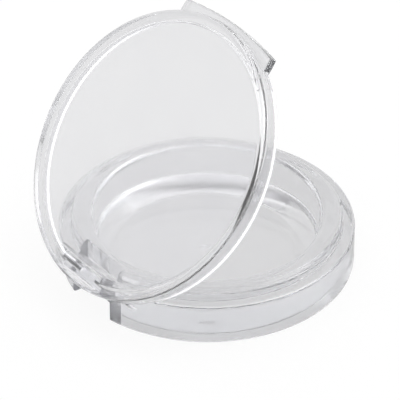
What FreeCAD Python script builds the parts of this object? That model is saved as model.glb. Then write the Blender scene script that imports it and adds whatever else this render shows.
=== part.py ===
import FreeCAD, Part
import math
import os

# Round clear pocket palette: a thick-walled pot with one mixing well, closed by a hinged clear lid.
# Millimetres. The origin is the centre of the pot's flat underside, +Z is up, the hinge is at +Y
# and the thumb lip is at -Y. The lid is drawn closed and then swung open to its resting angle.

# Pot
OUTER_R = 30.0
LEDGE_Z = 8.8
COLLAR_R = 27.6
DECK_Z = 11.1
WELL_TOP_R = 23.2
WELL_FOOT_R = 22.5
WELL_FOOT_Z = 4.9
FLOOR_R = 17.9
FLOOR_Z = 2.7
BOTTOM_EDGE = 0.8
LEDGE_EDGE = 0.6
COLLAR_EDGE = 1.8
WELL_EDGE = 1.3
WELL_FOOT_EDGE = 1.6
FLOOR_EDGE = 2.0

# Low dome that the moulding gate leaves in the middle of the well
GATE_R = 1.7
GATE_H = 0.45

# Lid
LID_TOP_Z = 12.8
LID_FACE_T = 1.5
RIM_INNER_R = 27.9
LID_OUTER_EDGE = 1.0
LID_INNER_EDGE = 0.5
RIM_EDGE = 0.3
LID_OPEN_DEG = 51.0

# Thumb lip on the lid's rim: its front edge is a flat arc, nearly straight
LIP_FRONT_Y = -31.0
LIP_FRONT_R = 75.0
LIP_HALF = 13.9
LIP_ROOT_R = 29.0
LIP_T = 1.8
LIP_CORNER = 2.6
LIP_EDGE = 0.4

# Snap bead on the collar and its groove in the rim, at the lip side
BEAD_PROUD = 0.18
BEAD_R = 0.5
BEAD_Z = 9.6
BEAD_HALF_DEG = 9.0
GROOVE_SPARE = 0.25

# Hinge
AXIS_Y = 27.6
AXIS_Z = 6.1
KNUCKLE_R = 2.2
KNUCKLE_HALF = 6.1
NOTCH_HALF = 6.3
NOTCH_INNER_Y = 25.0
EAR_R = 2.2
PIN_R = 0.5
PIN_CLEARANCE = 0.05
PIN_INNER_X = 2.6
PIN_OUTER_X = 10.2
PIN_HOLE_X = 2.4
PIN_CHAMFER = 0.12
EAR_TOP_HALF = 15.0

# Gap under the closed rim, how far a cutting block runs past the faces that it cuts,
# and the difference below which two lengths are the same
SEAT_GAP = 0.02
CUT_SPARE = 1.0
SAME = 1e-6
X_AXIS = FreeCAD.Vector(1, 0, 0)
Z_AXIS = FreeCAD.Vector(0, 0, 1)
HINGE_POINT = FreeCAD.Vector(0, AXIS_Y, AXIS_Z)


def turned(points):
    """Solid of revolution about Z of a closed outline of (radius, height) points."""
    corners = [FreeCAD.Vector(radius, 0, height) for radius, height in points]
    face = Part.Face(Part.makePolygon(corners + corners[:1]))
    return face.revolve(FreeCAD.Vector(), Z_AXIS, 360)


def ring_edges(shape, radius, height):
    """Circular edges of the shape about Z at one radius and height."""
    found = []
    for edge in shape.Edges:
        curve = edge.Curve
        if not isinstance(curve, Part.Circle):
            continue
        centre = curve.Center
        on_axis = math.hypot(centre.x, centre.y) < SAME
        if on_axis and abs(curve.Radius - radius) < SAME and abs(centre.z - height) < SAME:
            found.append(edge)
    return found


def rounded_rings(shape, rings):
    """Round each listed ring edge, given as (radius, height, rounding)."""
    for radius, height, rounding in rings:
        shape = shape.makeFillet(rounding, ring_edges(shape, radius, height))
    return shape


def x_cylinder(radius, x_from, x_to):
    """Cylinder along X on the hinge axis."""
    start = FreeCAD.Vector(x_from, AXIS_Y, AXIS_Z)
    return Part.makeCylinder(radius, x_to - x_from, start, X_AXIS)


def block(x_half, y_from, y_to, z_from, z_to):
    """Box that is centred on X = 0."""
    corner = FreeCAD.Vector(-x_half, y_from, z_from)
    return Part.makeBox(2 * x_half, y_to - y_from, z_to - z_from, corner)


def sector(inner_r, outer_r, half_deg, z_from, z_to):
    """Plate between two radii, centred on the -Y side."""
    angles = [math.radians(-90 + turn) for turn in (-half_deg, 0, half_deg)]

    def at(radius, angle):
        return FreeCAD.Vector(radius * math.cos(angle), radius * math.sin(angle), z_from)

    inner = Part.Arc(*[at(inner_r, angle) for angle in angles]).toShape()
    outer = Part.Arc(*[at(outer_r, angle) for angle in angles]).toShape()
    sides = [Part.makeLine(at(inner_r, angles[i]), at(outer_r, angles[i])) for i in (0, 2)]
    wire = Part.Wire(Part.__sortEdges__([inner, outer] + sides))
    return Part.Face(wire).extrude(FreeCAD.Vector(0, 0, z_to - z_from))


def catch_bead(grow):
    """Ring of round section about the collar, kept to a short arc at the lip side."""
    centre_r = COLLAR_R + BEAD_PROUD - BEAD_R
    ring = Part.makeTorus(centre_r, BEAD_R + grow, FreeCAD.Vector(0, 0, BEAD_Z), Z_AXIS)
    reach = BEAD_R + 2 * grow
    half_deg = BEAD_HALF_DEG * (1 + grow)
    keep = sector(centre_r - reach, centre_r + reach, half_deg, BEAD_Z - reach, BEAD_Z + reach)
    return ring.common(keep)


def thumb_lip(z_from):
    """Plate in front of the rim, with a flat-arc front edge, rounded corners and a rounded top edge."""
    front_centre = FreeCAD.Vector(0, LIP_FRONT_Y + LIP_FRONT_R, z_from)
    lip = Part.makeCylinder(LIP_FRONT_R, LIP_T, front_centre, Z_AXIS)
    lip = lip.common(block(LIP_HALF, -LIP_FRONT_R, 0, z_from, z_from + LIP_T))

    def front(edge):
        return math.hypot(edge.CenterOfMass.x, edge.CenterOfMass.y) > OUTER_R

    corners = [edge for edge in lip.Edges if edge.BoundBox.ZLength > LIP_T / 2 and front(edge)]
    lip = lip.makeFillet(LIP_CORNER, corners)
    top_edges = [edge for edge in lip.Edges if edge.BoundBox.ZMin > z_from + LIP_T / 2 and front(edge)]
    lip = lip.makeFillet(LIP_EDGE, top_edges)
    return lip.cut(Part.makeCylinder(LIP_ROOT_R, LIP_T, FreeCAD.Vector(0, 0, z_from), Z_AXIS))


def gate_dome():
    """Low spherical dome on the well's floor."""
    ball_r = (GATE_R ** 2 + GATE_H ** 2) / (2 * GATE_H)
    ball = Part.makeSphere(ball_r, FreeCAD.Vector(0, 0, FLOOR_Z + GATE_H - ball_r))
    return ball.common(block(GATE_R, -GATE_R, GATE_R, FLOOR_Z - GATE_H, FLOOR_Z + GATE_H))


def make_pot():
    """Thick-walled pot: ledge, collar, conical well foot, hinge ears and catch bead."""
    pot = turned([
        (0, 0), (OUTER_R, 0), (OUTER_R, LEDGE_Z), (COLLAR_R, LEDGE_Z), (COLLAR_R, DECK_Z),
        (WELL_TOP_R, DECK_Z), (WELL_FOOT_R, WELL_FOOT_Z), (FLOOR_R, FLOOR_Z), (0, FLOOR_Z),
    ])
    pot = rounded_rings(pot, [
        (OUTER_R, 0, BOTTOM_EDGE),
        (OUTER_R, LEDGE_Z, LEDGE_EDGE),
        (COLLAR_R, DECK_Z, COLLAR_EDGE),
        (WELL_TOP_R, DECK_Z, WELL_EDGE),
        (WELL_FOOT_R, WELL_FOOT_Z, WELL_FOOT_EDGE),
        (FLOOR_R, FLOOR_Z, FLOOR_EDGE),
    ])
    pot = pot.fuse([gate_dome(), catch_bead(0)])
    cut_y = OUTER_R + CUT_SPARE
    cut_z = DECK_Z + CUT_SPARE
    notch = block(NOTCH_HALF, NOTCH_INNER_Y, cut_y, -CUT_SPARE, cut_z)
    ear_top = block(EAR_TOP_HALF, AXIS_Y, cut_y, AXIS_Z, cut_z)
    ear_top = ear_top.cut(x_cylinder(EAR_R, -OUTER_R, OUTER_R))
    holes = x_cylinder(PIN_R, -OUTER_R, OUTER_R)
    return pot.cut([notch, ear_top, holes]).removeSplitter()


def make_lid():
    """Lid closed over the pot: face, rim, thumb lip, hinge knuckle and catch groove."""
    inside_z = LID_TOP_Z - LID_FACE_T
    rim_z = LEDGE_Z + SEAT_GAP
    lid = turned([
        (0, inside_z), (RIM_INNER_R, inside_z), (RIM_INNER_R, rim_z), (OUTER_R, rim_z),
        (OUTER_R, LID_TOP_Z), (0, LID_TOP_Z),
    ])
    lid = rounded_rings(lid, [
        (OUTER_R, LID_TOP_Z, LID_OUTER_EDGE),
        (RIM_INNER_R, inside_z, LID_INNER_EDGE),
        (RIM_INNER_R, rim_z, RIM_EDGE),
        (OUTER_R, rim_z, RIM_EDGE),
    ])
    knuckle = x_cylinder(KNUCKLE_R, -KNUCKLE_HALF, KNUCKLE_HALF)
    web = block(KNUCKLE_HALF, AXIS_Y - KNUCKLE_R, OUTER_R, AXIS_Z, inside_z + LID_FACE_T / 2)
    web = web.common(Part.makeCylinder(OUTER_R, LID_TOP_Z))
    lid = lid.fuse([thumb_lip(rim_z), knuckle, web])
    holes = [x_cylinder(PIN_R + PIN_CLEARANCE, PIN_HOLE_X, OUTER_R),
             x_cylinder(PIN_R + PIN_CLEARANCE, -OUTER_R, -PIN_HOLE_X)]
    lid = lid.cut(holes + [catch_bead(GROOVE_SPARE)]).removeSplitter()
    lid.rotate(HINGE_POINT, X_AXIS, -LID_OPEN_DEG)
    return lid


def make_pin(side):
    """Short steel pin pressed into one ear, with chamfered ends; side is -1 or 1."""
    inner_x, outer_x = sorted((side * PIN_INNER_X, side * PIN_OUTER_X))
    pin = x_cylinder(PIN_R, inner_x, outer_x)
    ends = [edge for edge in pin.Edges if isinstance(edge.Curve, Part.Circle)]
    return pin.makeChamfer(PIN_CHAMFER, ends)


def main():
    """Write one STEP file for each piece."""
    os.makedirs("parts", exist_ok=True)
    pieces = {
        "pot": make_pot(),
        "lid": make_lid(),
        "hinge_pin_left": make_pin(-1),
        "hinge_pin_right": make_pin(1),
    }
    for name, shape in pieces.items():
        solid = shape.Solids[0]
        print(name, "solids", len(shape.Solids), "valid", shape.isValid(), "volume", round(solid.Volume, 2))
        solid.exportStep("parts/" + name + ".step")


main()
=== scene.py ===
import logging
import math
from dataclasses import dataclass, field
from enum import Enum
from typing import Any, Callable, Sequence

import bmesh
import bpy
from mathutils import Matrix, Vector


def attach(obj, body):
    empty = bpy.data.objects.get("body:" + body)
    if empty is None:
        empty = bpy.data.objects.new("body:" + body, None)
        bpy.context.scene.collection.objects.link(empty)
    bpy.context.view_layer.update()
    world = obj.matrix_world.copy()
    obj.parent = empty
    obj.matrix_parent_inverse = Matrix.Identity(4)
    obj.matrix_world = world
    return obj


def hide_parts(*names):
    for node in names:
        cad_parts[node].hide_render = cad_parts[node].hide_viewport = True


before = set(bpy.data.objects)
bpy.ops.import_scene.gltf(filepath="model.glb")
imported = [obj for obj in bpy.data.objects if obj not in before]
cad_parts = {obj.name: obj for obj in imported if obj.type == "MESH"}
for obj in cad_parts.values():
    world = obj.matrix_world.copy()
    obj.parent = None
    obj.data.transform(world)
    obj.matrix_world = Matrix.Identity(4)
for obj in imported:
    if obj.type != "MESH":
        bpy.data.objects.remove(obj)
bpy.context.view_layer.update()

LOG = logging.getLogger("pocket_palette")

MM = 0.001
# How finely rounds are drawn
SPIN_STEPS = 256
ROUND_SIDES = 64
LIP_SIDES = 720
BEAD_SIDES = 24
BEAD_LEAST_STEPS = 8
GATE_STEPS = 8
ARC_STEP_DEG = 9
ARC_LEAST_STEPS = 3
# Points nearer than this are one, and a point this near to a line or plane lies on it
MERGE_M = 1e-6
ON_IT_MM = 0.02
# Detail of the noise in a finish
SOFT_DETAIL = 2.0
PLAIN_DETAIL = 3.0
FINE_DETAIL = 4.0
# Studio: how often light may turn inside clear plastic, and the picture's width on the sensor
GLASS_BOUNCES = 64
SENSOR_MM = 36
FLOOR_CELLS = 8
FLAG_CUTS = 2

Obj = bpy.types.Object
Mat = bpy.types.Material
Place = tuple[float, float, float]
Socket = bpy.types.NodeSocket
Tree = bpy.types.NodeTree


class Joinery(Enum):
    """How one solid is worked into another."""

    CUT = "DIFFERENCE"
    JOIN = "UNION"
    KEEP = "INTERSECT"


class Side(Enum):
    """Which end of the hinge a pin belongs to, as a sign along X."""

    LEFT = -1
    RIGHT = 1


# Small tools shared by the pieces


def linear(hex_colour: str) -> tuple[float, float, float, float]:
    """Turn an sRGB colour into linear RGBA.

    Args:
        hex_colour: A hash and six hex digits.

    Returns:
        Linear red, green and blue, with an alpha of 1.
    """
    parts = [int(hex_colour[i:i + 2], 16) / 255 for i in (1, 3, 5)]
    red, green, blue = [c / 12.92 if c <= 0.04045 else ((c + 0.055) / 1.055) ** 2.4 for c in parts]
    return red, green, blue, 1.0


def add_node(tree: Tree, kind: str, settings: dict[str, Any] | None = None,
             inputs: dict[Any, Any] | None = None) -> bpy.types.Node:
    """Add one shader node.

    Args:
        tree: The node tree that takes it.
        kind: The node's type name.
        settings: Node properties to set.
        inputs: Input sockets by name or index; a socket is linked and any other value is set.

    Returns:
        The new node.
    """
    node = tree.nodes.new(kind)
    for name, value in (settings or {}).items():
        setattr(node, name, value)
    for name, value in (inputs or {}).items():
        if isinstance(value, Socket):
            tree.links.new(value, node.inputs[name])
        else:
            node.inputs[name].default_value = value
    return node


def new_material(name: str) -> tuple[Mat, Tree, bpy.types.Node]:
    """Make an empty node material.

    Args:
        name: The material's name.

    Returns:
        The material, its node tree and its output node.
    """
    material = bpy.data.materials.new(name)
    material.use_nodes = True
    tree = material.node_tree
    tree.nodes.clear()
    return material, tree, add_node(tree, "ShaderNodeOutputMaterial")


def object_place(tree: Tree) -> Socket:
    """Add the place on the object, which patterns are scaled by."""
    return add_node(tree, "ShaderNodeTexCoord").outputs["Object"]


def grain(tree: Tree, where: Socket, size_mm: float, detail: float) -> Socket:
    """Add a noise pattern of a real size.

    Args:
        tree: The node tree that takes it.
        where: The place on the object.
        size_mm: Size of the pattern, in millimetres.
        detail: Octaves of finer noise in it.

    Returns:
        The pattern, from 0 to 1.
    """
    noise = add_node(tree, "ShaderNodeTexNoise", {"noise_dimensions": "3D"},
                     {"Vector": where, "Scale": 1 / (size_mm * MM), "Detail": detail})
    return noise.outputs["Fac"]


def two_tone(tree: Tree, pattern: Socket, first: str, second: str) -> Socket:
    """Blend two colours by a pattern.

    Args:
        tree: The node tree that takes it.
        pattern: The pattern, from 0 to 1.
        first: sRGB colour where the pattern is 0.
        second: sRGB colour where the pattern is 1.

    Returns:
        The colour.
    """
    mix = add_node(tree, "ShaderNodeMix", {"data_type": "RGBA"},
                   {"Factor": pattern, "A": linear(first), "B": linear(second)})
    return mix.outputs[2]


def spread(tree: Tree, pattern: Socket, ends: tuple[float, float]) -> Socket:
    """Add a value that a pattern moves between two ends."""
    span = add_node(tree, "ShaderNodeMapRange", None,
                    {"Value": pattern, "To Min": ends[0], "To Max": ends[1]})
    return span.outputs["Result"]


def deselect() -> None:
    """Go to object mode with nothing selected."""
    if bpy.context.object and bpy.context.object.mode != "OBJECT":
        bpy.ops.object.mode_set(mode="OBJECT")
    bpy.ops.object.select_all(action="DESELECT")


def take(obj: Obj) -> None:
    """Make one object the only selected and active one."""
    deselect()
    obj.select_set(True)
    bpy.context.view_layer.objects.active = obj


def edit(obj: Obj) -> None:
    """Open one object in edit mode with all of its mesh selected."""
    take(obj)
    bpy.ops.object.mode_set(mode="EDIT")
    bpy.ops.mesh.select_all(action="SELECT")


def pick_edges(obj: Obj, wanted: Callable[[Vector, Vector], bool]) -> None:
    """Select edges of the mesh being edited.

    Args:
        obj: The object in edit mode.
        wanted: Test on an edge's two ends, in millimetres.
    """
    bpy.ops.mesh.select_all(action="DESELECT")
    bpy.ops.mesh.select_mode(type="EDGE")
    mesh = bmesh.from_edit_mesh(obj.data)
    for edge in mesh.edges:
        first, second = (vert.co / MM for vert in edge.verts)
        edge.select_set(wanted(first, second))
    mesh.select_flush_mode()
    bmesh.update_edit_mesh(obj.data)


def pick_point(obj: Obj, place: Vector) -> None:
    """Select the vertex of the mesh being edited that lies at a place, in metres."""
    bpy.ops.mesh.select_all(action="DESELECT")
    bpy.ops.mesh.select_mode(type="VERT")
    mesh = bmesh.from_edit_mesh(obj.data)
    nearest = min(mesh.verts, key=lambda vert: (vert.co - place).length)
    nearest.select_set(True)
    mesh.select_flush_mode()
    bmesh.update_edit_mesh(obj.data)


def work(target: Obj, tool: Obj, how: Joinery) -> None:
    """Cut a tool out of a solid, join it on, or keep what both share, and throw the tool away.

    Args:
        target: The solid that is kept.
        tool: The solid that is used up.
        how: Cut, join or keep.
    """
    take(target)
    bpy.ops.object.modifier_add(type="BOOLEAN")
    modifier = target.modifiers[-1]
    modifier.operation = how.value
    modifier.solver = "EXACT"
    modifier.object = tool
    bpy.ops.object.modifier_apply(modifier=modifier.name)
    bpy.data.meshes.remove(tool.data)
    edit(target)
    bpy.ops.mesh.remove_doubles(threshold=MERGE_M)
    bpy.ops.mesh.dissolve_degenerate(threshold=MERGE_M)
    deselect()


@dataclass(frozen=True)
class Corner:
    """One corner of a turned outline.

    Attributes:
        radius: Distance from the Z axis, in millimetres.
        height: Height, in millimetres.
        rounding: Radius of the rounding there, in millimetres; 0 leaves the corner sharp.
    """

    radius: float
    height: float
    rounding: float = 0.0

    def place(self) -> Vector:
        """The corner as a point in the XZ plane, in metres."""
        return Vector((self.radius, 0.0, self.height)) * MM


def turned(name: str, outline: Sequence[Corner]) -> Obj:
    """Turn an outline about the Z axis, as on a lathe.

    Args:
        name: The new object's name.
        outline: Corners in order, the first and last of them on the axis.

    Returns:
        A closed solid of revolution.
    """
    deselect()
    bpy.ops.mesh.primitive_plane_add(size=MM)
    obj = bpy.context.object
    obj.name = name
    edit(obj)
    bpy.ops.mesh.merge(type="CENTER")
    bpy.ops.transform.translate(value=outline[0].place())
    for before, after in zip(outline, outline[1:]):
        bpy.ops.mesh.extrude_region_move(
            TRANSFORM_OT_translate={"value": after.place() - before.place()})
    for before, corner, after in zip(outline, outline[1:], outline[2:]):
        if corner.rounding:
            turn = (corner.place() - before.place()).angle(after.place() - corner.place())
            pick_point(obj, corner.place())
            bpy.ops.mesh.bevel(
                affect="VERTICES", offset=corner.rounding * MM * math.tan(turn / 2),
                segments=max(ARC_LEAST_STEPS, round(math.degrees(turn) / ARC_STEP_DEG)), profile=0.5)
    bpy.ops.mesh.select_all(action="SELECT")
    bpy.ops.mesh.spin(steps=SPIN_STEPS, angle=math.tau, center=(0, 0, 0), axis=(0, 0, 1))
    bpy.ops.mesh.select_all(action="SELECT")
    bpy.ops.mesh.remove_doubles(threshold=MERGE_M)
    bpy.ops.mesh.normals_make_consistent(inside=False)
    deselect()
    return obj


def rod(radius: float, length: float, centre: Place, turn: Place = (0, 0, 0),
        sides: int = ROUND_SIDES) -> Obj:
    """Add a round rod to cut or join with.

    Args:
        radius: Its radius, in millimetres.
        length: Its length, in millimetres.
        centre: Its middle, in millimetres.
        turn: Its turn about X, Y and Z, in radians, from standing along Z.
        sides: How many flats make its round.

    Returns:
        The rod.
    """
    deselect()
    bpy.ops.mesh.primitive_cylinder_add(
        vertices=sides, radius=radius * MM, depth=length * MM,
        location=Vector(centre) * MM, rotation=turn)
    bpy.ops.object.transform_apply(location=True, rotation=True, scale=True)
    return bpy.context.object


def block(low: Place, high: Place) -> Obj:
    """Add a block between two corners, in millimetres, to cut or join with."""
    deselect()
    middle = (Vector(low) + Vector(high)) / 2
    bpy.ops.mesh.primitive_cube_add(size=1, location=middle * MM)
    bpy.context.object.scale = (Vector(high) - Vector(low)) * MM
    bpy.ops.object.transform_apply(location=True, rotation=True, scale=True)
    return bpy.context.object


def bead(ring_r: float, height: float, section_r: float, half_deg: float) -> Obj:
    """Add a short round ridge that follows a ring about Z, centred on the -Y side.

    Args:
        ring_r: Radius of the ring that its middle follows, in millimetres.
        height: Height of its middle, in millimetres.
        section_r: Radius of its section, in millimetres.
        half_deg: Half of the angle that it covers, in degrees.

    Returns:
        The closed ridge.
    """
    deselect()
    start = math.radians(-90 - half_deg)
    at = Vector((ring_r * math.cos(start), ring_r * math.sin(start), height)) * MM
    bpy.ops.mesh.primitive_circle_add(
        vertices=BEAD_SIDES, radius=section_r * MM, fill_type="NGON", location=at,
        rotation=(math.pi / 2, 0, start))
    bpy.ops.object.transform_apply(location=True, rotation=True, scale=True)
    obj = bpy.context.object
    edit(obj)
    bpy.ops.mesh.spin(steps=max(BEAD_LEAST_STEPS, round(half_deg * 2)),
                      angle=math.radians(2 * half_deg), center=(0, 0, 0), axis=(0, 0, 1))
    bpy.ops.mesh.select_all(action="SELECT")
    bpy.ops.mesh.normals_make_consistent(inside=False)
    deselect()
    return obj


def smooth(obj: Obj, crease_deg: float = 32.0) -> None:
    """Shade a finished solid smooth, with true flats and creases.

    Args:
        obj: The finished solid.
        crease_deg: Edges that turn by more than this stay crisp, in degrees.
    """
    take(obj)
    bpy.ops.object.shade_smooth_by_angle(angle=math.radians(crease_deg))
    bpy.ops.object.modifier_add(type="WEIGHTED_NORMAL")
    modifier = obj.modifiers[-1]
    modifier.weight = 100
    modifier.keep_sharp = True
    bpy.ops.object.modifier_apply(modifier=modifier.name)


# Pieces


@dataclass(frozen=True)
class Hinge:
    """Sizes that the pot's ears, the lid's knuckle and the pins share, in millimetres."""

    axis_y: float = 27.6
    axis_z: float = 6.1
    knuckle_r: float = 2.2
    knuckle_half: float = 6.1
    notch_half: float = 6.3
    notch_inner_y: float = 25.0
    ear_r: float = 2.2
    ear_top_half: float = 15.0
    pin_r: float = 0.5
    pin_clearance: float = 0.05
    pin_inner_x: float = 2.6
    pin_outer_x: float = 10.2
    pin_hole_x: float = 2.4
    pin_chamfer: float = 0.12
    pin_shrink: float = 0.01
    pin_end_steps: int = 3

    def rod_along(self, radius: float, x_from: float, x_to: float) -> Obj:
        """A rod on the hinge axis between two X places, in millimetres."""
        middle = ((x_from + x_to) / 2, self.axis_y, self.axis_z)
        return rod(radius, x_to - x_from, middle, (0, math.pi / 2, 0))


@dataclass
class Pot:
    """The thick-walled pot with its mixing well, in millimetres."""

    hinge: Hinge
    outer_r: float = 30.0
    ledge_z: float = 8.8
    collar_r: float = 27.6
    deck_z: float = 11.1
    well_top_r: float = 23.2
    well_foot_r: float = 22.5
    well_foot_z: float = 4.9
    floor_r: float = 17.9
    floor_z: float = 2.7
    gate_r: float = 1.7
    gate_h: float = 0.45
    bottom_edge: float = 0.8
    ledge_edge: float = 0.6
    collar_root: float = 0.15
    collar_edge: float = 1.8
    well_edge: float = 1.3
    well_foot_edge: float = 1.6
    floor_edge: float = 2.0
    bead_ring_r: float = 27.28
    bead_z: float = 9.6
    bead_r: float = 0.5
    bead_half_deg: float = 9.0
    spare: float = 1.0

    def outline(self) -> list[Corner]:
        """The turned outline, from the middle of the underside to the top of the gate mark."""
        ball_r = (self.gate_r ** 2 + self.gate_h ** 2) / (2 * self.gate_h)
        reach = math.asin(self.gate_r / ball_r)
        top = self.floor_z + self.gate_h
        angles = [reach * step / GATE_STEPS for step in range(GATE_STEPS, -1, -1)]
        gate = [Corner(ball_r * math.sin(a), top - ball_r * (1 - math.cos(a))) for a in angles]
        return [
            Corner(0, 0),
            Corner(self.outer_r, 0, self.bottom_edge),
            Corner(self.outer_r, self.ledge_z, self.ledge_edge),
            Corner(self.collar_r, self.ledge_z, self.collar_root),
            Corner(self.collar_r, self.deck_z, self.collar_edge),
            Corner(self.well_top_r, self.deck_z, self.well_edge),
            Corner(self.well_foot_r, self.well_foot_z, self.well_foot_edge),
            Corner(self.floor_r, self.floor_z, self.floor_edge),
            *gate]

    def build(self) -> Obj:
        """Turn the pot, join its catch bead, and cut the hinge notch, ear tops and pin holes.

        Returns:
            The pot, in place.
        """
        hinge = self.hinge
        pot = turned("clear_pot", self.outline())
        work(pot, bead(self.bead_ring_r, self.bead_z, self.bead_r, self.bead_half_deg), Joinery.JOIN)
        out_y = self.outer_r + self.spare
        out_z = self.deck_z + self.spare
        ear_top = block((-hinge.ear_top_half, hinge.axis_y, hinge.axis_z),
                        (hinge.ear_top_half, out_y, out_z))
        work(ear_top, hinge.rod_along(hinge.ear_r, -self.outer_r, self.outer_r), Joinery.CUT)
        work(pot, ear_top, Joinery.CUT)
        notch = block((-hinge.notch_half, hinge.notch_inner_y, -self.spare),
                      (hinge.notch_half, out_y, out_z))
        work(pot, notch, Joinery.CUT)
        work(pot, hinge.rod_along(hinge.pin_r, -self.outer_r, self.outer_r), Joinery.CUT)
        smooth(pot)
        return pot


@dataclass
class Lid:
    """The clear lid with its rim, thumb lip and hinge knuckle, in millimetres."""

    hinge: Hinge
    outer_r: float = 30.0
    top_z: float = 12.8
    face_t: float = 1.5
    rim_inner_r: float = 27.9
    rim_z: float = 8.82
    inner_edge: float = 0.5
    rim_edge: float = 0.3
    outer_edge: float = 1.0
    lip_front_y: float = -31.0
    lip_front_r: float = 75.0
    lip_half: float = 13.9
    lip_root_r: float = 29.0
    lip_t: float = 1.78
    lip_lift: float = 0.02
    lip_corner: float = 2.6
    lip_edge: float = 0.4
    lip_corner_steps: int = 8
    lip_edge_steps: int = 5
    lip_corners_before_y: float = -16.0
    groove_ring_r: float = 27.28
    groove_z: float = 9.6
    groove_r: float = 0.75
    groove_half_deg: float = 11.25
    web_inset: float = 0.05
    open_deg: float = 51.0

    def outline(self) -> list[Corner]:
        """The turned outline, from the middle of the inside to the middle of the top."""
        inside_z = self.top_z - self.face_t
        return [
            Corner(0, inside_z),
            Corner(self.rim_inner_r, inside_z, self.inner_edge),
            Corner(self.rim_inner_r, self.rim_z, self.rim_edge),
            Corner(self.outer_r, self.rim_z, self.rim_edge),
            Corner(self.outer_r, self.top_z, self.outer_edge),
            Corner(0, self.top_z)]

    def lip(self) -> Obj:
        """Make the thumb lip: a flat-arc plate with rounded corners and a rounded top edge.

        Returns:
            The plate, hollowed behind so that it only reaches into the rim.
        """
        middle_z = self.rim_z + self.lip_lift + self.lip_t / 2
        centre = (0, self.lip_front_y + self.lip_front_r, middle_z)
        plate = rod(self.lip_front_r, self.lip_t, centre, sides=LIP_SIDES)
        far = self.lip_front_r * 3
        for side in Side:
            low, high = sorted((side.value * self.lip_half, side.value * far))
            work(plate, block((low, -far, 0), (high, far, far)), Joinery.CUT)
        work(plate, block((-far, 0, 0), (far, far, far)), Joinery.CUT)
        edit(plate)
        corner = self.lip_half - ON_IT_MM
        pick_edges(plate, lambda a, b: (abs(a.x) > corner and a.y < self.lip_corners_before_y
                                        and (a.xy - b.xy).length < ON_IT_MM))
        bpy.ops.mesh.bevel(offset=self.lip_corner * MM, segments=self.lip_corner_steps,
                           profile=0.5, affect="EDGES")
        top = middle_z + self.lip_t / 2 - ON_IT_MM
        pick_edges(plate, lambda a, b: min(a.z, b.z) > top and max(a.y, b.y) < -ON_IT_MM)
        bpy.ops.mesh.bevel(offset=self.lip_edge * MM, segments=self.lip_edge_steps,
                           profile=0.5, affect="EDGES")
        deselect()
        root = rod(self.lip_root_r, self.lip_t * 3, (0, 0, middle_z), sides=SPIN_STEPS)
        work(plate, root, Joinery.CUT)
        return plate

    def build(self) -> Obj:
        """Turn the lid closed, join the lip and knuckle, cut the holes, and swing it open.

        Returns:
            The lid, in place.
        """
        hinge = self.hinge
        lid = turned("clear_lid", self.outline())
        work(lid, self.lip(), Joinery.JOIN)
        web = block((-hinge.knuckle_half, hinge.axis_y - hinge.knuckle_r, hinge.axis_z),
                    (hinge.knuckle_half, self.outer_r + self.face_t, self.top_z - self.face_t / 2))
        round_r = self.outer_r - self.web_inset
        inside = rod(round_r, self.top_z * 2, (0, 0, self.top_z), sides=SPIN_STEPS)
        work(web, inside, Joinery.KEEP)
        knuckle = hinge.rod_along(hinge.knuckle_r, -hinge.knuckle_half, hinge.knuckle_half)
        work(web, knuckle, Joinery.JOIN)
        work(lid, web, Joinery.JOIN)
        for side in Side:
            low, high = sorted((side.value * hinge.pin_hole_x, side.value * self.outer_r))
            work(lid, hinge.rod_along(hinge.pin_r + hinge.pin_clearance, low, high), Joinery.CUT)
        groove = bead(self.groove_ring_r, self.groove_z, self.groove_r, self.groove_half_deg)
        work(lid, groove, Joinery.CUT)
        smooth(lid)
        edit(lid)
        bpy.ops.transform.rotate(
            value=math.radians(self.open_deg), orient_axis="X",
            center_override=Vector((0, hinge.axis_y, hinge.axis_z)) * MM)
        deselect()
        return lid


@dataclass
class HingePin:
    """One short steel hinge pin with rounded ends, in millimetres."""

    hinge: Hinge
    side: Side

    def build(self) -> Obj:
        """Add the pin in place and round both of its ends.

        Returns:
            The pin.
        """
        hinge = self.hinge
        low, high = sorted((self.side.value * hinge.pin_inner_x, self.side.value * hinge.pin_outer_x))
        pin = hinge.rod_along(hinge.pin_r - hinge.pin_shrink, low, high)
        pin.name = "hinge_pin_" + self.side.name.lower() + "_steel"
        edit(pin)
        pick_edges(pin, lambda a, b: abs(a.x - b.x) < ON_IT_MM)
        bpy.ops.mesh.bevel(offset=hinge.pin_chamfer * MM, segments=hinge.pin_end_steps,
                           profile=0.5, affect="EDGES")
        deselect()
        smooth(pin)
        return pin


# Finishes


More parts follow.
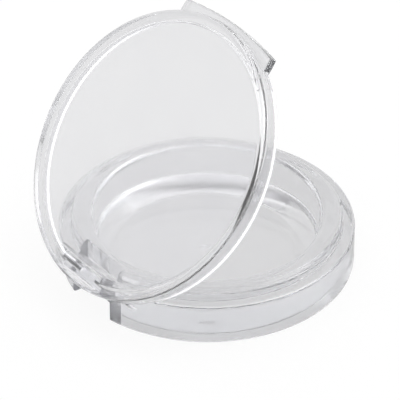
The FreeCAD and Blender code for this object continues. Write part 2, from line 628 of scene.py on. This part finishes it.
@dataclass(frozen=True)
class ClearStyrene:
    """Clear polystyrene, moulded and polished: glassy, faintly grey where thick, slightly hazed.

    Attributes:
        veil: Share of the light that the handled polish scatters.
        tint: Colour of the plastic where it is clearest.
        flow: Colour along the faint flow of the moulding.
        depth: Colour that a thick wall goes towards.
        density: How fast it does, per metre.
        ior: Refractive index of polystyrene.
        haze: Lowest and highest roughness, from polish to handling haze.
        flow_mm: Width of the flow marks.
        haze_mm: Size of the haze's patches.
        ripple_mm: Height of the ripple that moulding leaves.
    """

    veil: float = 0.025
    tint: str = "#F6F6F7"
    flow: str = "#F2F2F4"
    depth: str = "#DCDDE0"
    density: float = 14.0
    ior: float = 1.5
    haze: tuple[float, float] = (0.06, 0.08)
    flow_mm: float = 9.0
    haze_mm: float = 2.5
    ripple_mm: float = 0.004

    def build(self) -> Mat:
        """Make the material.

        Returns:
            The clear plastic.
        """
        material, tree, output = new_material("clear_polystyrene_polished")
        where = object_place(tree)
        flow = grain(tree, where, self.flow_mm, SOFT_DETAIL)
        cloud = grain(tree, where, self.haze_mm, FINE_DETAIL)
        ripple = add_node(tree, "ShaderNodeBump", None,
                          {"Height": flow, "Strength": 1.0, "Distance": self.ripple_mm * MM})
        shader = add_node(tree, "ShaderNodeBsdfPrincipled", None, {
            "Base Color": two_tone(tree, flow, self.tint, self.flow),
            "Roughness": spread(tree, cloud, self.haze), "IOR": self.ior,
            "Transmission Weight": 1.0 - self.veil, "Normal": ripple.outputs["Normal"]})
        body = add_node(tree, "ShaderNodeVolumeAbsorption", None,
                        {"Color": linear(self.depth), "Density": self.density})
        tree.links.new(shader.outputs["BSDF"], output.inputs["Surface"])
        tree.links.new(body.outputs["Volume"], output.inputs["Volume"])
        return material


@dataclass(frozen=True)
class DrawnSteel:
    """Stainless wire as drawn: dark grey metal with fine lines along its length.

    Attributes:
        bright: Colour of the steel.
        dull: Colour in the drawing lines.
        line_mm: Spacing of the lines, coarse enough to show.
        stretch: Scale of the lines along the wire, which draws them out.
        rough: Lowest and highest roughness.
    """

    bright: str = "#7C7E82"
    dull: str = "#55575B"
    line_mm: float = 0.08
    stretch: float = 0.04
    rough: tuple[float, float] = (0.2, 0.34)

    def build(self) -> Mat:
        """Make the material.

        Returns:
            The drawn steel.
        """
        material, tree, output = new_material("drawn_stainless_wire")
        along = add_node(tree, "ShaderNodeMapping", None,
                         {"Vector": object_place(tree), "Scale": (self.stretch, 1.0, 1.0)})
        lines = grain(tree, along.outputs["Vector"], self.line_mm, PLAIN_DETAIL)
        shader = add_node(tree, "ShaderNodeBsdfPrincipled", None, {
            "Base Color": two_tone(tree, lines, self.bright, self.dull),
            "Roughness": spread(tree, lines, self.rough), "Metallic": 1.0})
        tree.links.new(shader.outputs["BSDF"], output.inputs["Surface"])
        return material


@dataclass(frozen=True)
class WhiteCard:
    """Matt white card of the floor: white to the eye, evenly dimmed in the glass as painted shade,
    with the soft shadow kept.

    Attributes:
        colour: Colour of the card.
        fibre: Colour of its fibres.
        fibre_mm: Size of the fibres, coarse enough to show.
        seen: Share of plain white where the camera looks straight at it.
        through: Share of plain white where it is seen in or through the plastic and the steel.
        deep: Level of that white in and through the plastic, where the camera's own is 1; held below
            1, it is painted shade that dims the card evenly in the glass, in place of the pot's
            shadow on it.
    """

    colour: str = "#F4F4F4"
    fibre: str = "#EFEFEF"
    fibre_mm: float = 1.5
    seen: float = 0.9
    through: float = 0.85
    deep: float = 0.76

    def build(self) -> Mat:
        """Make the material.

        Returns:
            The card.
        """
        material, tree, output = new_material("matt_white_card")
        fibres = grain(tree, object_place(tree), self.fibre_mm, PLAIN_DETAIL)
        card = add_node(tree, "ShaderNodeBsdfDiffuse", None,
                        {"Color": two_tone(tree, fibres, self.colour, self.fibre)})
        path = add_node(tree, "ShaderNodeLightPath").outputs
        # Painted shade: in and through the glass the card glows at the lower deep level, evenly, in
        # place of the pot's shadow on it.
        level = spread(tree, path["Is Camera Ray"], (self.deep, 1.0))
        white = add_node(tree, "ShaderNodeEmission", None, {"Strength": level})
        glass = add_node(tree, "ShaderNodeMath", {"operation": "MAXIMUM"},
                         {0: path["Is Glossy Ray"], 1: path["Is Transmission Ray"]})
        through = add_node(tree, "ShaderNodeMath", {"operation": "MULTIPLY"},
                           {0: glass.outputs["Value"], 1: self.through})
        share = add_node(tree, "ShaderNodeMath", {"operation": "MULTIPLY_ADD"},
                         {0: path["Is Camera Ray"], 1: self.seen, 2: through.outputs["Value"]})
        mixed = add_node(tree, "ShaderNodeMixShader", None, {
            "Fac": share.outputs["Value"], 1: card.outputs["BSDF"], 2: white.outputs["Emission"]})
        tree.links.new(mixed.outputs["Shader"], output.inputs["Surface"])
        return material


@dataclass(frozen=True)
class BlackCard:
    """Matt black card of the flags: it draws dark edges in clear plastic.

    Light that reaches it without having been mirrored passes through, so that it doesn't darken
    a plain look through the plastic.

    Attributes:
        colour: Colour of the card.
        fibre: Colour of its fibres.
        fibre_mm: Size of the fibres.
        mirrored: Number of mirror bounces above which light meets the card.
    """

    colour: str = "#0C0C0D"
    fibre: str = "#1A1A1C"
    fibre_mm: float = 1.5
    mirrored: float = 0.5

    def build(self) -> Mat:
        """Make the material.

        Returns:
            The card.
        """
        material, tree, output = new_material("matt_black_card")
        fibres = grain(tree, object_place(tree), self.fibre_mm, PLAIN_DETAIL)
        card = add_node(tree, "ShaderNodeBsdfDiffuse", None,
                        {"Color": two_tone(tree, fibres, self.colour, self.fibre)})
        clear = add_node(tree, "ShaderNodeBsdfTransparent")
        path = add_node(tree, "ShaderNodeLightPath").outputs
        mirrored = add_node(tree, "ShaderNodeMath", {"operation": "GREATER_THAN"},
                            {0: path["Glossy Depth"], 1: self.mirrored})
        mixed = add_node(tree, "ShaderNodeMixShader", None, {
            "Fac": mirrored.outputs["Value"], 1: clear.outputs["BSDF"], 2: card.outputs["BSDF"]})
        tree.links.new(mixed.outputs["Shader"], output.inputs["Surface"])
        return material


# Studio


@dataclass(frozen=True)
class Flag:
    """An upright dark card beside the object, seen only as mirrored in it.

    Attributes:
        azimuth: Direction of its middle about Z, in degrees from +X.
        distance: From the pot's middle, in millimetres.
        width: Its width, in millimetres.
        height: Its height, in millimetres.
    """

    azimuth: float
    distance: float
    width: float
    height: float

    def build(self, finish: BlackCard) -> Obj:
        """Stand the card up, hidden from the camera and casting no shadow.

        Args:
            finish: The card's finish.

        Returns:
            The card.
        """
        deselect()
        azimuth = math.radians(self.azimuth)
        across, along = math.cos(azimuth) * self.distance, math.sin(azimuth) * self.distance
        middle = Vector((across, along, self.height / 2)) * MM
        bpy.ops.mesh.primitive_plane_add(
            size=1, location=middle, rotation=(math.pi / 2, 0, azimuth + math.pi / 2))
        card = bpy.context.object
        card.name = "dark_flag"
        card.scale = (self.width * MM, self.height * MM, 1)
        bpy.ops.object.transform_apply(location=True, rotation=True, scale=True)
        edit(card)
        bpy.ops.mesh.subdivide(number_cuts=FLAG_CUTS)
        deselect()
        card.data.materials.append(finish.build())
        card.visible_camera = False
        card.visible_diffuse = False
        card.visible_shadow = False
        return card


@dataclass(frozen=True)
class Glow:
    """A soft patch of the room's light.

    Attributes:
        azimuth: Direction of its middle about Z, in degrees from +X.
        elevation: Height of its middle, in degrees.
        spread: Angle from its middle to its soft end, in degrees.
        change: How much it adds to the room's light there, or takes away.
    """

    azimuth: float
    elevation: float
    spread: float
    change: float

    def direction(self) -> Vector:
        """The way to its middle, as a unit vector."""
        azimuth, elevation = math.radians(self.azimuth), math.radians(self.elevation)
        level = math.cos(elevation)
        return Vector((level * math.cos(azimuth), level * math.sin(azimuth), math.sin(elevation)))


@dataclass
class Studio:
    """Pale floor, soft room light and the camera.

    Attributes:
        room: Plain level of the room's light.
        glows: Brighter and darker patches of that light.
        flags: Upright dark cards beside the object.
        azimuth: The camera's view, in degrees, where 0 looks along +Y.
        elevation: The camera's height above the horizon, in degrees.
        distance: From the camera to the pot's middle, in millimetres.
        aim: Right and up from the pot's underside to the picture's middle, in millimetres.
        lens: Focal length on a 36 mm wide picture, in millimetres.
        floor_half: Half of the floor's width, in metres.
        floor_drop: Gap under the pot, in millimetres.
    """

    room: float = 1.1
    glows: list[Glow] = field(default_factory=lambda: [
        Glow(240, 48, 28, 1.6),
        Glow(56, 25, 30, -0.8),
        Glow(46, 20, 9, 1.6)])
    flags: list[Flag] = field(default_factory=lambda: [
        Flag(207, 80, 104, 40)])
    azimuth: float = 233.0
    elevation: float = 36.0
    distance: float = 836.0
    aim: tuple[float, float] = (-1.622, 11.355)
    lens: float = 366.5
    floor_half: float = 3.0
    floor_drop: float = 0.05

    def floor(self, finish: WhiteCard) -> Obj:
        """Lay the floor.

        Args:
            finish: The floor's finish.

        Returns:
            The floor.
        """
        deselect()
        bpy.ops.mesh.primitive_grid_add(
            x_subdivisions=FLOOR_CELLS, y_subdivisions=FLOOR_CELLS, size=2 * self.floor_half,
            location=(0, 0, -self.floor_drop * MM))
        bpy.ops.object.transform_apply(location=True, rotation=True, scale=True)
        card = bpy.context.object
        card.name = "floor_card"
        card.data.materials.append(finish.build())
        return card

    def light(self) -> None:
        """Light the room from all round: plain white to the camera, and uneven to the object."""
        scene = bpy.context.scene
        scene.world = bpy.data.worlds.new("soft_room")
        scene.world.use_nodes = True
        tree = scene.world.node_tree
        tree.nodes.clear()
        where = add_node(tree, "ShaderNodeTexCoord").outputs["Generated"]
        level: Any = self.room
        for glow in self.glows:
            near = add_node(tree, "ShaderNodeVectorMath", {"operation": "DOT_PRODUCT"},
                            {0: where, 1: glow.direction()})
            inside = add_node(tree, "ShaderNodeMapRange", {"interpolation_type": "SMOOTHSTEP"},
                              {"Value": near.outputs["Value"],
                               "From Min": math.cos(math.radians(glow.spread)), "From Max": 1.0})
            total = add_node(tree, "ShaderNodeMath", {"operation": "MULTIPLY_ADD"},
                             {0: inside.outputs["Result"], 1: glow.change, 2: level})
            level = total.outputs["Value"]
        lit = add_node(tree, "ShaderNodeMath", {"operation": "MAXIMUM"}, {0: level, 1: 0.0})
        path = add_node(tree, "ShaderNodeLightPath").outputs
        shown = add_node(tree, "ShaderNodeMix", {"data_type": "FLOAT"},
                         {"Factor": path["Is Camera Ray"], "A": lit.outputs["Value"], "B": 1.0})
        sky = add_node(tree, "ShaderNodeBackground", None,
                       {"Color": (1, 1, 1, 1), "Strength": shown.outputs[0]})
        output = add_node(tree, "ShaderNodeOutputWorld")
        tree.links.new(sky.outputs["Background"], output.inputs["Surface"])

    def camera(self) -> None:
        """Stand the camera at the picture's angle and aim it at the picture's middle."""
        azimuth, elevation = math.radians(self.azimuth), math.radians(self.elevation)
        level = math.cos(elevation)
        view = Vector((-math.sin(azimuth) * level, math.cos(azimuth) * level, -math.sin(elevation)))
        right = Vector((math.cos(azimuth), math.sin(azimuth), 0))
        target = (right * self.aim[0] + right.cross(view) * self.aim[1]) * MM
        place = -view * self.distance * MM
        data = bpy.data.cameras.new("camera")
        data.sensor_width = SENSOR_MM
        data.lens = self.lens
        camera = bpy.data.objects.new("camera", data)
        camera.location = place
        camera.rotation_euler = (target - place).to_track_quat("-Z", "Y").to_euler()
        scene = bpy.context.scene
        scene.collection.objects.link(camera)
        scene.camera = camera
        scene.view_settings.view_transform = "Standard"
        scene.cycles.max_bounces = GLASS_BOUNCES
        scene.cycles.transmission_bounces = GLASS_BOUNCES
        scene.cycles.glossy_bounces = GLASS_BOUNCES
        scene.cycles.use_denoising = True


def dress(piece: Obj, material: Mat, body: str, node: str) -> None:
    """Give a piece its material and tie it to the frame.

    Args:
        piece: The finished piece.
        material: Its material.
        body: The frame's body that it rides on.
        node: The CAD node that it stands for.
    """
    piece.data.materials.clear()
    piece.data.materials.append(material)
    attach(piece, body)
    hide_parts(node)
    LOG.info("%s: %d faces on %s", piece.name, len(piece.data.polygons), body)


def main() -> None:
    """Build the pieces, dress them, and set the studio up."""
    logging.basicConfig(level=logging.INFO, format="%(message)s")
    hinge = Hinge()
    plastic = ClearStyrene().build()
    steel = DrawnSteel().build()
    dress(Pot(hinge).build(), plastic, "pot_body", "pot")
    dress(Lid(hinge).build(), plastic, "lid_body", "lid")
    for side in Side:
        node = "hinge_pin_" + side.name.lower()
        dress(HingePin(hinge, side).build(), steel, "pot_body", node)
    studio = Studio()
    studio.floor(WhiteCard())
    for flag in studio.flags:
        flag.build(BlackCard())
    studio.light()
    studio.camera()


if __name__ == "__main__":
    main()
